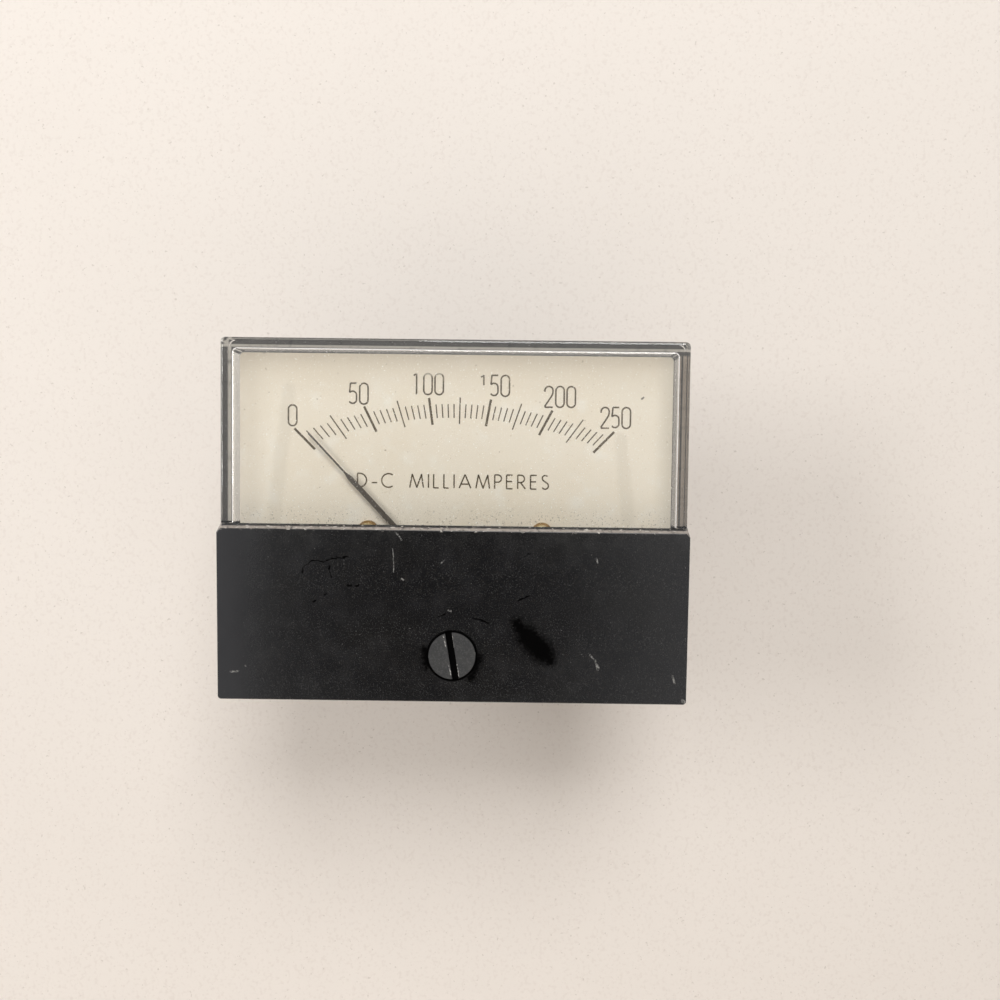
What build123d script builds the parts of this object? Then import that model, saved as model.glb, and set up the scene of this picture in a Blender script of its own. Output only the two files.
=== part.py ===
from build123d import *
from math import asin, cos, degrees, radians, sin
import os

# Analog panel meter with a wide rectangular face and a moving-coil movement whose
# magnet is the core inside the coil. Millimetres. X runs to the reader's right, Z up,
# and the front faces -Y. The origin is the barrel's axis at the panel's surface.
# A height is measured from the panel towards the reader: a negative one is behind it.

# Face and flange
face_width = 106.7
face_height = 82.5
face_rise = 4.5
flange_thickness = 3.2
flange_corner = 1.6
rim_height = 1.5
rim_wall = 1.5
rim_clearance = 0.3

# Barrel that goes through the panel
barrel_radius = 34.925
barrel_depth = 30.0
barrel_wall = 2.2
barrel_floor = 3.0
barrel_chamfer = 1.0

# Clear window cover
cover_front = 14.0
cover_wall = 2.2
cover_inset = 0.3
cover_corner = 1.2
cover_edge_round = 0.8
cover_inner_round = 0.5
tongue_length = 4.0

# Black mask over the lower half
mask_edge = 2.3
mask_top_height = 15.6
mask_bottom_height = 14.8
mask_bevel_rise = 1.1
mask_miter = 0.9
mask_wall = 2.0
mask_corner = 0.8
mask_edge_round = 0.25
seat_gap = 0.1

# Zero adjuster in the mask
zero_rise = 10.65
zero_head_radius = 5.6
zero_head_front = 15.2
zero_head_depth = 1.5
zero_head_round = 0.35
zero_slot_width = 1.55
zero_slot_depth = 0.9
zero_slot_lean = 9.5
zero_neck_radius = 3.0
zero_collar_radius = 4.2
zero_collar_depth = 0.5
zero_boss_depth = 1.1
zero_boss_wall = 1.4
zero_head_gap = 0.15
zero_pin_throw = 2.0
zero_pin_radius = 0.75
zero_fork_clearance = 0.12

# Dial
dial_front = 7.8
dial_thickness = 0.6
dial_edge_clearance = 0.5
dial_notch_radius = 19.6
dial_notch_cover = 1.1
dial_below_pivot = 9.0
dial_corner = 1.0
dial_screw_x = 20.3
dial_screw_rise = 13.6
dial_screw_head_radius = 2.52
dial_screw_head_height = 1.2
dial_screw_radius = 1.45
dial_post_radius = 2.6

# Movement: everything turns about the pivot, which lies below the barrel's axis
movement_wall_gap = 0.725
rest_lean = 43.3
travel = 49.0
core_radius = 9.5
core_length = 16.0
core_front = 3.5
yoke_bore_radius = 14.0
yoke_radius = 19.0
web_half_angle = 20.0
web_length = 10.0
coil_side_clearance = 0.8
coil_end_clearance = 1.1
coil_build = 1.6
coil_width = 3.2
coil_corner = 1.2
former_floor = 0.4
former_cheek = 0.4

# Staffs, jewels and hairsprings
staff_foot_radius = 2.2
staff_foot_thickness = 0.4
staff_radius = 0.7
collet_radius = 1.1
collet_length = 0.5
pivot_radius = 0.3
pivot_length = 0.7
pivot_clearance = 0.08
jewel_radius = 0.9
jewel_length = 0.9
jewel_end_gap = 0.2
spring_gap = 0.25
spring_pitch = 1.25
spring_turns = 3
spring_strip = 0.2
spring_width = 0.4
anchor_radius = 0.4

# Pointer and its balance weights
pointer_back = 8.7
pointer_thickness = 0.3
pointer_top_margin = 4.98
needle_length = 12.6
pointer_taper = 1.7
needle_half_width = 0.21
blade_half_width = 0.58
hub_radius = 2.6
arm_width = 1.0
side_arm_reach = 9.4
tail_arm_reach = 11.2
weight_radius = 0.95
side_weight_length = 1.8
tail_weight_length = 4.0
weight_end_gap = 0.3

# Bridges that carry the jewels
bridge_span = 33.0
bridge_width = 6.0
bridge_thickness = 0.8
front_bridge_back = 10.3
rear_bridge_front = -18.4
bridge_boss_radius = 2.0
bridge_boss_height = 0.7
bridge_post_radius = 2.0
bridge_screw_radius = 1.0
bridge_screw_head_radius = 1.9
bridge_screw_head_height = 1.1
bridge_screw_length = 3.0
jewel_screw_radius = 1.3
jewel_screw_length = 2.9
lock_nut_across = 4.5
lock_nut_thickness = 0.8

# Zero lever that carries the front hairspring's outer end
lever_thickness = 0.45
lever_lift = 0.1
lever_hub_radius = 3.4
lever_bore_clearance = 0.1
lever_arm_width = 2.6
lever_fork_width = 4.6
lever_fork_length = 4.8
lever_fork_overhang = 2.3

# Frame plate that holds the movement in the barrel
frame_thickness = 1.5
frame_bore_clearance = 0.2
frame_rim = 0.9
frame_ear_radius = 4.4
frame_screw_rise = 7.0
frame_screw_top_gap = 8.0
frame_screw_radius = 1.4
frame_screw_head_radius = 2.5
frame_screw_head_height = 1.6
frame_screw_length = 8.0
frame_boss_radius = 3.6
frame_ear_gap = 1.0

# Pointer stops
stop_radius = 16.5
stop_pin_radius = 0.6
stop_clearance = 0.3
stop_overlap = 0.6

# Terminals and shunt
terminal_spacing = 28.6
terminal_radius = 3.175
terminal_reach = 16.0
terminal_head_across = 11.1
terminal_head_thickness = 3.0
terminal_boss_radius = 8.0
terminal_boss_height = 1.5
washer_radius = 6.4
washer_thickness = 1.0
nut_across = 11.1
nut_thickness = 4.0
shunt_width = 6.0
shunt_thickness = 0.5
shunt_end_radius = 5.0

# Mounting studs
stud_spacing_x = 81.3
stud_spacing_z = 34.3
stud_radius = 2.085
stud_neck_radius = 2.4
stud_reach = 14.0
stud_head_radius = 3.6
stud_head_depth = 1.8

# Gaps and ends shared by several pieces
press_gap = 0.03
thread_end_chamfer = 0.5
slot_share = 0.5
crown_share = 0.5
overrun = 3
nut_corner_cut = 0.35

# Heights and places that follow from the sizes above
core_back = core_front - core_length
coil_inner_x = core_radius + coil_side_clearance
coil_outer_x = coil_inner_x + coil_build
coil_inner_front = core_front + coil_end_clearance
coil_inner_back = core_back - coil_end_clearance
coil_outer_front = coil_inner_front + coil_build
coil_outer_back = coil_inner_back - coil_build
dial_back = dial_front - dial_thickness
pointer_front = pointer_back + pointer_thickness
front_bridge_front = front_bridge_back + bridge_thickness
rear_bridge_back = rear_bridge_front - bridge_thickness
frame_front = core_back
frame_back = frame_front - frame_thickness
barrel_inside = barrel_radius - barrel_wall
floor_front = -(barrel_depth - barrel_floor)
pivot_z = -(barrel_inside - yoke_radius - frame_rim - movement_wall_gap)
mask_foot_z = face_rise - face_height / 2
zero_z = mask_foot_z + zero_rise
lever_reach = pivot_z - zero_z + zero_pin_throw + lever_fork_overhang
dial_screw_z = pivot_z + dial_screw_rise
mask_slope = (mask_top_height - mask_bottom_height) / (mask_edge - mask_foot_z)
cover_foot_z = mask_edge + mask_bevel_rise
zero_head_back = zero_head_front - zero_head_depth
zero_seat = zero_head_back - seat_gap
zero_boss_back = zero_seat - zero_boss_depth
zero_collar_back = zero_boss_back - seat_gap - zero_collar_depth
lever_back = front_bridge_front + lever_lift
spring_inner_radius = collet_radius + spring_gap + spring_strip / 2
spring_outer_radius = spring_inner_radius + spring_turns * spring_pitch
front_pivot_end = front_bridge_back + pivot_length / 2
rear_pivot_end = rear_bridge_front - pivot_length / 2
front_spring_back = pointer_front + spring_gap + seat_gap
rear_spring_front = rear_bridge_front + bridge_thickness + spring_width
dial_half_width = face_width / 2 - cover_inset - cover_wall - dial_edge_clearance
dial_top = face_rise + face_height / 2 - cover_inset - cover_wall - dial_edge_clearance
dial_bottom = pivot_z - dial_below_pivot
pointer_length = dial_top - pointer_top_margin - pivot_z
pointer_shoulder = pointer_length - needle_length
frame_screw_circle = barrel_inside - frame_ear_radius - frame_ear_gap
frame_screw_side_z = pivot_z + frame_screw_rise
frame_screw_side_x = (frame_screw_circle ** 2 - frame_screw_side_z ** 2) ** 0.5
frame_screw_top_z = pivot_z + yoke_radius + frame_screw_top_gap
post_places = {"left": -bridge_span / 2, "right": bridge_span / 2}
frame_screw_places = {
    "left": (-frame_screw_side_x, frame_screw_side_z),
    "right": (frame_screw_side_x, frame_screw_side_z),
    "top": (0, frame_screw_top_z),
}


def facing(height):
    """The plane parallel to the panel at a height, as the reader sees it."""
    return Plane.XZ.offset(height)


def seat(x, z, height, backwards=False):
    """A plane centred on a place, whose normal points the way a screw's head stands."""
    outward = 1 if backwards else -1
    return Plane(origin=(x, -height, z), x_dir=(1, 0, 0), z_dir=(0, outward, 0))


def turned(height, lean):
    """A plane on the pivot whose x axis points along a pointer that leans left."""
    along = (-sin(radians(lean)), 0, cos(radians(lean)))
    return Plane(origin=(0, -height, pivot_z), x_dir=along, z_dir=(0, -1, 0))


base_align = (Align.CENTER, Align.CENTER, Align.MIN)
hang_align = (Align.CENTER, Align.CENTER, Align.MAX)


def slotted_screw(place, head_radius, head_height, shank_radius, shank_length):
    """A cheese-head screw, its head standing on the place and its shank behind it."""
    with BuildPart(place) as screw:
        Cylinder(head_radius, head_height, align=base_align)
        crown = screw.edges().group_by(Axis(place.origin, place.z_dir))[-1]
        chamfer(crown, head_height * crown_share)
        Cylinder(shank_radius, shank_length, align=hang_align)
        with Locations((0, 0, head_height)):
            slot_width = head_radius * slot_share / 2
            Box(head_radius * overrun, slot_width, head_height, mode=Mode.SUBTRACT)
    return screw


def hex_nut(place, across, thickness, bore):
    """A hexagon nut standing on the place, with its corners turned off at both ends."""
    with BuildPart(place) as nut:
        Cylinder(across / 3 ** 0.5, thickness, align=base_align)
        chamfer(nut.edges().filter_by(GeomType.CIRCLE), nut_corner_cut)
        with BuildSketch(place):
            RegularPolygon(across / 2, 6, major_radius=False)
            Circle(bore, mode=Mode.SUBTRACT)
        extrude(amount=thickness, mode=Mode.INTERSECT)
    return nut


# Base housing: one black moulding with the flange, the barrel and the inner bosses
with BuildPart() as base_housing:
    with BuildSketch(facing(0)):
        with Locations((0, face_rise)):
            RectangleRounded(face_width, face_height, flange_corner)
    extrude(amount=flange_thickness)
    # The raised rim locates the cover and the mask
    rim_inset = max(cover_wall + cover_inset, mask_wall) + rim_clearance
    with BuildSketch(facing(flange_thickness)):
        with Locations((0, face_rise)):
            RectangleRounded(face_width - 2 * rim_inset, face_height - 2 * rim_inset, flange_corner)
            rim_hollow = rim_inset + rim_wall
            RectangleRounded(
                face_width - 2 * rim_hollow, face_height - 2 * rim_hollow, flange_corner / 2,
                mode=Mode.SUBTRACT,
            )
    extrude(amount=rim_height)
    with BuildSketch(facing(0)):
        Circle(barrel_radius)
    extrude(amount=-barrel_depth)
    chamfer(base_housing.faces().sort_by(Axis.Y)[-1].edges(), barrel_chamfer)
    with BuildSketch(facing(flange_thickness)):
        Circle(barrel_inside)
    extrude(amount=floor_front - flange_thickness, mode=Mode.SUBTRACT)
    # Bosses for the frame's screws, from the floor to the frame plate
    with BuildSketch(facing(floor_front)):
        for place in frame_screw_places.values():
            with Locations(place):
                Circle(frame_boss_radius)
    extrude(amount=frame_back - floor_front)
    with BuildSketch(facing(frame_back)):
        for place in frame_screw_places.values():
            with Locations(place):
                Circle(frame_screw_radius + press_gap)
    extrude(amount=-(frame_screw_length - frame_thickness + seat_gap), mode=Mode.SUBTRACT)
    # Raised seats round the terminals, and their holes
    with BuildSketch(facing(-barrel_depth)):
        with GridLocations(terminal_spacing, 0, 2, 1):
            Circle(terminal_boss_radius)
    extrude(amount=-terminal_boss_height)
    with BuildSketch(facing(floor_front)):
        with GridLocations(terminal_spacing, 0, 2, 1):
            Circle(terminal_radius + press_gap)
    extrude(amount=-(barrel_floor + terminal_boss_height), mode=Mode.SUBTRACT)
    # Holes and head pockets of the mounting studs
    with BuildSketch(facing(flange_thickness)):
        with GridLocations(stud_spacing_x, stud_spacing_z, 2, 2):
            Circle(stud_neck_radius + press_gap)
    extrude(amount=-flange_thickness, mode=Mode.SUBTRACT)
    with BuildSketch(facing(flange_thickness)):
        with GridLocations(stud_spacing_x, stud_spacing_z, 2, 2):
            Circle(stud_head_radius + press_gap)
    extrude(amount=-stud_head_depth, mode=Mode.SUBTRACT)
base_housing.part.label = "base_housing"
export_step(base_housing.part, "parts/base_housing.step")


# Window cover: one clear moulding, its top and sides leaning in towards the front,
# with a tongue that runs on behind the mask's top edge
cover_slope = cover_inset / (cover_front - flange_thickness)
with BuildPart() as window_cover:
    for inset, far_height, mode in (
        (0, cover_front, Mode.ADD),
        (cover_wall, cover_front - cover_wall, Mode.SUBTRACT),
    ):
        for height in (flange_thickness, far_height):
            shrink = 2 * (inset + cover_slope * (height - flange_thickness))
            with BuildSketch(facing(height)):
                with Locations((0, face_rise)):
                    RectangleRounded(face_width - shrink, face_height - shrink, cover_corner)
        loft(mode=mode)
        if mode == Mode.ADD:
            fillet(window_cover.faces().sort_by(Axis.Y)[0].edges(), cover_edge_round)
        else:
            inner_front = window_cover.faces().filter_by(Axis.Y).sort_by(Axis.Y)[1]
            fillet(inner_front.edges(), cover_inner_round)
    split(bisect_by=Plane.XY.offset(cover_foot_z), keep=Keep.TOP)
    with BuildSketch(facing(cover_front - cover_wall)):
        with Locations((0, cover_foot_z)):
            tongue_width = face_width - 2 * (mask_wall + rim_clearance + cover_inset)
            Rectangle(tongue_width, tongue_length, align=(Align.CENTER, Align.MAX))
    extrude(amount=cover_wall)
window_cover.part.label = "window_cover"
export_step(window_cover.part, "parts/window_cover.step")

# Front mask: a black moulding, slightly thicker at its top, with a bevelled top edge
with BuildPart() as front_mask:
    with BuildSketch(Plane.YZ):
        with BuildLine():
            Polyline(
                (-flange_thickness, mask_foot_z),
                (-mask_bottom_height, mask_foot_z),
                (-mask_top_height, mask_edge),
                (-cover_front, cover_foot_z),
                (-flange_thickness, cover_foot_z),
                close=True,
            )
        make_face()
    extrude(amount=face_width / 2, both=True)
    foot_edges = front_mask.edges().filter_by(Axis.Y).group_by(Axis.Z)[0]
    fillet(foot_edges, mask_corner)
    # The bevel's two ends are mitred back to the sides
    for x in (-face_width / 2, face_width / 2):
        bevel_end = (x, -(mask_top_height + cover_front) / 2, (mask_edge + cover_foot_z) / 2)
        chamfer(front_mask.edges().sort_by_distance(bevel_end)[0], mask_miter)
    front_edges = front_mask.faces().sort_by(Axis.Y)[0].edges()
    fillet(front_edges, mask_edge_round)
    # The hollow follows the slope of the front, and is open at the top and the back
    hollow_top = mask_top_height - mask_wall + mask_slope * mask_bevel_rise
    hollow_foot_z = mask_foot_z + mask_wall
    hollow_bottom = mask_top_height - mask_wall - mask_slope * (mask_edge - hollow_foot_z)
    with BuildSketch(Plane.YZ):
        with BuildLine():
            Polyline(
                (-flange_thickness, hollow_foot_z),
                (-hollow_bottom, hollow_foot_z),
                (-hollow_top, cover_foot_z),
                (-flange_thickness, cover_foot_z),
                close=True,
            )
        make_face()
    extrude(amount=face_width / 2 - mask_wall, both=True, mode=Mode.SUBTRACT)
    # The rebate that the cover's tongue slides into
    with BuildSketch(facing(cover_front)):
        with Locations((0, cover_foot_z)):
            rebate_width = face_width - 2 * mask_wall
            rebate_length = tongue_length + seat_gap
            Rectangle(rebate_width, rebate_length, align=(Align.CENTER, Align.MAX))
    extrude(amount=-cover_wall, mode=Mode.SUBTRACT)
    # The boss behind the zero adjuster, its head pocket and its neck hole
    with BuildSketch(facing(zero_boss_back)):
        with Locations((0, zero_z)):
            Circle(zero_head_radius + zero_head_gap + zero_boss_wall)
    extrude(amount=zero_boss_depth + zero_head_depth / 2)
    with BuildSketch(facing(zero_seat)):
        with Locations((0, zero_z)):
            Circle(zero_head_radius + zero_head_gap)
    extrude(amount=zero_head_depth * 2, mode=Mode.SUBTRACT)
    with BuildSketch(facing(zero_boss_back)):
        with Locations((0, zero_z)):
            Circle(zero_neck_radius + seat_gap)
    extrude(amount=zero_boss_depth, mode=Mode.SUBTRACT)
front_mask.part.label = "front_mask"
export_step(front_mask.part, "parts/front_mask.step")

# Zero screw: slotted head, neck through the mask, collar and eccentric pin behind
with BuildPart(seat(0, zero_z, zero_head_back)) as zero_screw:
    Cylinder(zero_head_radius, zero_head_depth, align=base_align)
    chamfer(zero_screw.edges().sort_by(Axis.Y)[0], zero_head_round)
    with Locations(Location((0, 0, zero_head_depth), (0, 0, 90 + zero_slot_lean))):
        Box(
            zero_head_radius * overrun, zero_slot_width, zero_slot_depth,
            align=hang_align, mode=Mode.SUBTRACT,
        )
    Cylinder(zero_neck_radius, zero_head_back - zero_collar_back, align=hang_align)
    with Locations((0, 0, zero_collar_back - zero_head_back)):
        Cylinder(zero_collar_radius, zero_collar_depth, align=base_align)
    with Locations((0, -zero_pin_throw, zero_collar_back - zero_head_back)):
        Cylinder(zero_pin_radius, zero_collar_back - lever_back + seat_gap, align=hang_align)
zero_screw.part.label = "zero_screw"
export_step(zero_screw.part, "parts/zero_screw.step")

# Dial plate: sheet aluminium with a notch that lets it slip past the movement
with BuildPart() as dial_plate:
    with BuildSketch(facing(dial_back)):
        with Locations((0, dial_bottom)):
            dial_height = dial_top - dial_bottom
            Rectangle(dial_half_width * 2, dial_height, align=(Align.CENTER, Align.MIN))
        with Locations((0, pivot_z)):
            Circle(dial_notch_radius, mode=Mode.SUBTRACT)
        # The notch is flat on top, so that the mask's edge hides it
        notch_top = mask_edge - dial_notch_cover
        notch_fill = pivot_z + dial_notch_radius - notch_top
        with Locations((0, notch_top)):
            Rectangle(dial_notch_radius * 2, notch_fill, align=(Align.CENTER, Align.MIN))
        with Locations((-dial_screw_x, dial_screw_z), (dial_screw_x, dial_screw_z)):
            Circle(dial_screw_radius + press_gap, mode=Mode.SUBTRACT)
    extrude(amount=dial_thickness)
    fillet(dial_plate.edges().filter_by(Axis.Y).group_by(Axis.Z)[-1], dial_corner)
dial_plate.part.label = "dial_plate"
export_step(dial_plate.part, "parts/dial_plate.step")

# Dial posts stand on the frame's ears, and each takes a brass screw through the dial
for side, x in (("left", -dial_screw_x), ("right", dial_screw_x)):
    screw_length = dial_thickness + dial_post_radius * 2
    with BuildPart() as dial_post:
        with BuildSketch(facing(frame_front)):
            with Locations((x, dial_screw_z)):
                RegularPolygon(dial_post_radius, 6)
        extrude(amount=dial_back - frame_front)
        with BuildSketch(facing(dial_back)):
            with Locations((x, dial_screw_z)):
                Circle(dial_screw_radius + press_gap)
        extrude(amount=-(screw_length - dial_thickness + seat_gap), mode=Mode.SUBTRACT)
    dial_post.part.label = f"dial_post_{side}"
    export_step(dial_post.part, f"parts/dial_post_{side}.step")

    dial_screw = slotted_screw(
        seat(x, dial_screw_z, dial_front), dial_screw_head_radius, dial_screw_head_height,
        dial_screw_radius, screw_length,
    )
    dial_screw.part.label = f"dial_screw_{side}"
    export_step(dial_screw.part, f"parts/dial_screw_{side}.step")

# Core magnet, and the soft iron yoke ring that closes its field round the coil
with BuildPart() as core_magnet:
    with BuildSketch(facing(core_back)):
        with Locations((0, pivot_z)):
            Circle(core_radius)
    extrude(amount=core_length)
    chamfer(core_magnet.edges().filter_by(GeomType.CIRCLE), thread_end_chamfer)
core_magnet.part.label = "core_magnet"
export_step(core_magnet.part, "parts/core_magnet.step")

with BuildPart() as yoke_ring:
    with BuildSketch(facing(core_back)):
        with Locations((0, pivot_z)):
            Circle(yoke_radius)
            Circle(yoke_bore_radius, mode=Mode.SUBTRACT)
    extrude(amount=core_length)
    outer_rims = yoke_ring.edges().filter_by(GeomType.CIRCLE).group_by(SortBy.LENGTH)[-1]
    chamfer(outer_rims, thread_end_chamfer)
yoke_ring.part.label = "yoke_ring"
export_step(yoke_ring.part, "parts/yoke_ring.step")

# Two die-cast webs hold the core in the yoke, above and below the coil's sweep
for place, direction in (("upper", 1), ("lower", -1)):
    with BuildPart() as core_web:
        web_back = core_front - (core_length + web_length) / 2
        with BuildSketch(seat(0, pivot_z, web_back)):
            Circle(yoke_bore_radius - press_gap)
            Circle(core_radius + press_gap, mode=Mode.SUBTRACT)
            with BuildLine():
                reach = yoke_bore_radius * 2 * direction
                spread = reach * sin(radians(web_half_angle)) / cos(radians(web_half_angle))
                Polyline((0, 0), (spread, reach), (-spread, reach), close=True)
            make_face(mode=Mode.INTERSECT)
        extrude(amount=web_length)
    core_web.part.label = f"core_web_{place}"
    export_step(core_web.part, f"parts/core_web_{place}.step")

# Frame plate: holds the yoke, the dial posts and the rear bridge, and is screwed
# to three bosses of the base
with BuildPart() as movement_frame:
    with BuildSketch(facing(frame_back)):
        with Locations((0, pivot_z)):
            Circle(yoke_radius + frame_rim)
        with Locations((-dial_screw_x, dial_screw_z), (dial_screw_x, dial_screw_z)):
            Circle(frame_ear_radius)
        for place in frame_screw_places.values():
            with Locations(place):
                Circle(frame_ear_radius)
        make_hull()
        with Locations((0, pivot_z)):
            Circle(yoke_bore_radius + frame_bore_clearance, mode=Mode.SUBTRACT)
        for place in frame_screw_places.values():
            with Locations(place):
                Circle(frame_screw_radius + press_gap, mode=Mode.SUBTRACT)
    extrude(amount=frame_thickness)
movement_frame.part.label = "movement_frame"
export_step(movement_frame.part, "parts/movement_frame.step")

for name, place in frame_screw_places.items():
    frame_screw = slotted_screw(
        seat(place[0], place[1], frame_front), frame_screw_head_radius,
        frame_screw_head_height, frame_screw_radius, frame_screw_length,
    )
    frame_screw.part.label = f"frame_screw_{name}"
    export_step(frame_screw.part, f"parts/frame_screw_{name}.step")

# Bridge posts, bridge screws and bridges. The front pair clears the pointer's sweep
bridge_sides = (
    ("front", core_front, front_bridge_back, front_bridge_front, False),
    ("rear", frame_back, rear_bridge_front, rear_bridge_back, True),
)
for end, foot, near, far, backwards in bridge_sides:
    for side, x in post_places.items():
        with BuildPart() as bridge_post:
            with BuildSketch(facing(foot)):
                with Locations((x, pivot_z)):
                    Circle(bridge_post_radius)
            extrude(amount=near - foot)
            with BuildSketch(facing(near)):
                with Locations((x, pivot_z)):
                    Circle(bridge_screw_radius + press_gap)
            bore_depth = bridge_screw_length - bridge_thickness + seat_gap
            extrude(amount=bore_depth if backwards else -bore_depth, mode=Mode.SUBTRACT)
        bridge_post.part.label = f"{end}_bridge_post_{side}"
        export_step(bridge_post.part, f"parts/{end}_bridge_post_{side}.step")

        bridge_screw = slotted_screw(
            seat(x, pivot_z, far, backwards), bridge_screw_head_radius,
            bridge_screw_head_height, bridge_screw_radius, bridge_screw_length,
        )
        bridge_screw.part.label = f"{end}_bridge_screw_{side}"
        export_step(bridge_screw.part, f"parts/{end}_bridge_screw_{side}.step")

    outward = -1 if backwards else 1
    with BuildPart() as bridge:
        with BuildSketch(facing(near)):
            with Locations((0, pivot_z)):
                SlotCenterToCenter(bridge_span, bridge_width)
        extrude(amount=outward * bridge_thickness)
        with BuildSketch(facing(far)):
            with Locations((0, pivot_z)):
                Circle(bridge_boss_radius)
        extrude(amount=outward * bridge_boss_height)
        with BuildSketch(facing(near)):
            with Locations((0, pivot_z)):
                Circle(jewel_screw_radius + press_gap)
            for x in post_places.values():
                with Locations((x, pivot_z)):
                    Circle(bridge_screw_radius + press_gap)
        bridge_through = bridge_thickness + bridge_boss_height
        extrude(amount=outward * bridge_through, mode=Mode.SUBTRACT)
        if backwards:
            # The pillar that the rear hairspring's outer end is soldered to
            with BuildSketch(facing(near)):
                with Locations((spring_outer_radius, pivot_z + anchor_radius + press_gap)):
                    Circle(anchor_radius)
            extrude(amount=rear_spring_front - near)
    bridge.part.label = f"{end}_bridge"
    export_step(bridge.part, f"parts/{end}_bridge.step")

    # Jewel screw with its slot, the jewel in its end and the lock nut on the boss
    screw_end = near - outward * jewel_end_gap
    screw_seat = seat(0, pivot_z, screw_end, backwards)
    with BuildPart(screw_seat) as jewel_screw:
        Cylinder(jewel_screw_radius, jewel_screw_length, align=base_align)
        Cylinder(jewel_radius + press_gap, jewel_length, align=base_align, mode=Mode.SUBTRACT)
        with Locations((0, 0, jewel_screw_length)):
            slot_width = jewel_screw_radius * slot_share
            Box(jewel_screw_radius * overrun, slot_width, slot_width * 2, mode=Mode.SUBTRACT)
    jewel_screw.part.label = f"{end}_jewel_screw"
    export_step(jewel_screw.part, f"parts/{end}_jewel_screw.step")

    with BuildPart(screw_seat) as jewel:
        Cylinder(jewel_radius, jewel_length, align=base_align)
        bore_depth = jewel_end_gap + pivot_length / 2 + pivot_clearance
        bore_radius = pivot_radius + pivot_clearance
        Cylinder(bore_radius, bore_depth, align=base_align, mode=Mode.SUBTRACT)
    jewel.part.label = f"{end}_jewel"
    export_step(jewel.part, f"parts/{end}_jewel.step")

    nut_height = far + outward * bridge_boss_height
    lock_nut = hex_nut(
        seat(0, pivot_z, nut_height, backwards), lock_nut_across, lock_nut_thickness,
        jewel_screw_radius + press_gap,
    )
    lock_nut.part.label = f"{end}_lock_nut"
    export_step(lock_nut.part, f"parts/{end}_lock_nut.step")

# Coil former: an aluminium channel bent into a frame that surrounds the core
coil_middle = (coil_outer_front + coil_outer_back) / 2
coil_length = coil_outer_front - coil_outer_back
coil_plane = Plane(
    origin=(0, -coil_middle, pivot_z),
    x_dir=turned(0, rest_lean).y_dir,
    z_dir=turned(0, rest_lean).x_dir,
)
with BuildPart() as coil_former:
    with BuildSketch(coil_plane):
        RectangleRounded(coil_outer_x * 2, coil_length, coil_corner)
        hole_width = coil_inner_x * 2
        hole_length = coil_length - 2 * coil_build
        RectangleRounded(hole_width, hole_length, coil_corner / 2, mode=Mode.SUBTRACT)
    extrude(amount=coil_width / 2, both=True)
    with BuildSketch(coil_plane):
        RectangleRounded(coil_outer_x * 2, coil_length, coil_corner)
        floor_width = hole_width + 2 * former_floor
        floor_length = hole_length + 2 * former_floor
        RectangleRounded(floor_width, floor_length, coil_corner, mode=Mode.SUBTRACT)
    extrude(amount=coil_width / 2 - former_cheek, both=True, mode=Mode.SUBTRACT)
coil_former.part.label = "coil_former"
export_step(coil_former.part, "parts/coil_former.step")

# Coil winding: the enamelled copper wire that fills the channel
with BuildPart() as coil_winding:
    with BuildSketch(coil_plane):
        fill = 2 * press_gap
        RectangleRounded(coil_outer_x * 2 - fill, coil_length - fill, coil_corner)
        RectangleRounded(floor_width + fill, floor_length + fill, coil_corner, mode=Mode.SUBTRACT)
    extrude(amount=coil_width / 2 - former_cheek - press_gap, both=True)
coil_winding.part.label = "coil_winding"
export_step(coil_winding.part, "parts/coil_winding.step")

# Staffs: each stands on an end of the coil, carries a hairspring's collet and
# ends in a fine pivot that runs in a jewel
staffs = (
    ("front", coil_outer_front, front_spring_back, front_pivot_end, False),
    ("rear", coil_outer_back, rear_spring_front, rear_pivot_end, True),
)
for end, foot, collet_foot, pivot_end, backwards in staffs:
    shoulder_length = abs(pivot_end - foot) - pivot_length
    collet_rise = abs(collet_foot - foot) - (collet_length - spring_width) / 2
    with BuildPart(seat(0, pivot_z, foot, backwards)) as staff:
        Cylinder(staff_foot_radius, staff_foot_thickness, align=base_align)
        Cylinder(staff_radius, shoulder_length, align=base_align)
        with Locations((0, 0, collet_rise)):
            Cylinder(collet_radius, collet_length, align=base_align)
        with Locations((0, 0, shoulder_length)):
            Cylinder(pivot_radius, pivot_length, align=base_align)
    staff.part.label = f"{end}_staff"
    export_step(staff.part, f"parts/{end}_staff.step")

# Hairsprings: flat bronze spirals made of half turns about two centres. The front one
# ends on the zero lever, above the hub, and the rear one on the rear bridge's pillar
springs = (
    ("front", turned(front_spring_back, 0), spring_width),
    ("rear", seat(0, pivot_z, rear_spring_front), -spring_width),
)
for end, plane, width in springs:
    with BuildPart() as hairspring:
        with BuildSketch(plane):
            with BuildLine() as spiral:
                for turn in range(spring_turns):
                    radius = spring_inner_radius + turn * spring_pitch
                    CenterArc((0, 0), radius, 0, 180)
                    CenterArc((spring_pitch / 2, 0), radius + spring_pitch / 2, 180, 180)
            trace(spiral.edges(), spring_strip)
        extrude(amount=width)
    hairspring.part.label = f"{end}_hairspring"
    export_step(hairspring.part, f"parts/{end}_hairspring.step")

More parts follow.
